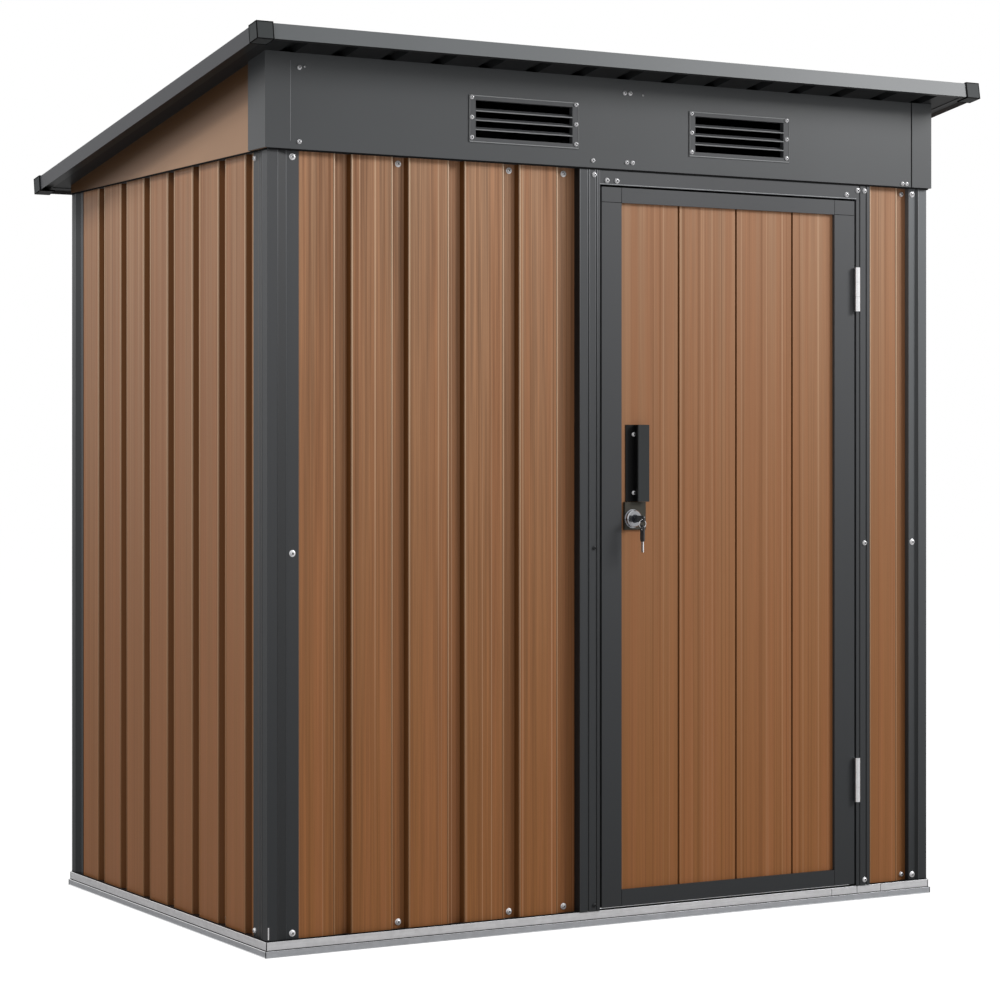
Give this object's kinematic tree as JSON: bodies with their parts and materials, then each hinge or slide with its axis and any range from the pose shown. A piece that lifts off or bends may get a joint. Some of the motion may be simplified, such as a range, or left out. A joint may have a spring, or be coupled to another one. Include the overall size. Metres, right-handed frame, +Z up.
{
  "type": "metal storage shed",
  "caption": "Lean-to metal garden storage shed with ribbed wood-effect wall sheets, vented fascia, pent roof and one lockable hinged door.",
  "frame": {"origin": "middle of the overall box at ground level, under the centre of the roof", "axes": "+X to the right along the front as seen from outside, +Y to the back, +Z up; the front wall faces -Y"},
  "size_m": [1.787, 1.2396, 1.834],
  "materials": {
    "wood_effect": "printed wood effect, satin",
    "anthracite": "satin",
    "roof_anthracite": "satin",
    "galvanised": "galvanised",
    "handle_black": "satin",
    "lock_case_grey": "satin",
    "chrome": "polished",
    "zinc_hinge": "zinc plated",
    "key_steel": "nickel plated"
  },
  "bodies": {
    "shed": {"back_wall_sheet": "wood_effect", "base_rail_back": "galvanised", "base_rail_front": "galvanised", "base_rail_left": "galvanised", "base_rail_right": "galvanised", "corner_post_back_left": "anthracite", "corner_post_back_right": "anthracite", "corner_post_front_left": "anthracite", "corner_post_front_right": "anthracite", "door_lintel": "anthracite", "door_post_hinge_side": "anthracite", "door_post_lock_side": "anthracite", "fascia_left": "anthracite", "fascia_right": "anthracite", "fascia_trim_left": "anthracite", "fascia_trim_right": "anthracite", "front_narrow_sheet": "wood_effect", "front_wall_sheet": "wood_effect", "gable_left": "wood_effect", "gable_right": "wood_effect", "hinge_post_leaves": "zinc_hinge", "left_wall_sheet": "wood_effect", "right_wall_sheet": "wood_effect", "roof_beam": "galvanised", "roof_corner_caps": "roof_anthracite", "roof_edge_back": "roof_anthracite", "roof_edge_front": "roof_anthracite", "roof_edge_left": "roof_anthracite", "roof_edge_right": "roof_anthracite", "roof_sheet": "roof_anthracite", "top_rail_back": "anthracite", "top_rail_front": "anthracite", "top_rail_left": "anthracite", "top_rail_right": "anthracite", "vent_frames": "anthracite", "vent_louvres": "anthracite"},
    "door": {"door_lock_stile": "anthracite", "door_hinge_stile": "anthracite", "door_top_rail": "anthracite", "door_bottom_rail": "anthracite", "door_panel": "wood_effect", "door_handle": "handle_black", "lock_case": "lock_case_grey", "lock_barrel": "chrome", "hinge_door_leaves": "zinc_hinge"},
    "lock": {"lock_plug": "chrome", "lock_cam": "galvanised", "door_key": "key_steel", "key_ring": "key_steel"},
    "spare_key": {"spare_key": "key_steel"}
  },
  "joints": [
    {"name": "door_swing", "type": "hinge", "parent": "shed", "child": "door", "pos_m": [0.61995, -0.5258, 0.9], "axis": [0, 0, 1], "range_deg": [0, 170]},
    {"name": "lock_turn", "type": "hinge", "parent": "door", "child": "lock", "pos_m": [0.0293, -0.51031, 0.859], "axis": [0, 1, 0], "range_deg": [0, 90]},
    {"name": "spare_key_hang", "type": "hinge", "parent": "lock", "child": "spare_key", "pos_m": [0.0293, -0.55731, 0.8484], "axis": [0, 1, 0], "range_deg": [-90, 0]}
  ],
  "couplings": [
    {"joint": "spare_key_hang", "follows": "lock_turn", "ratio": -1}
  ]
}
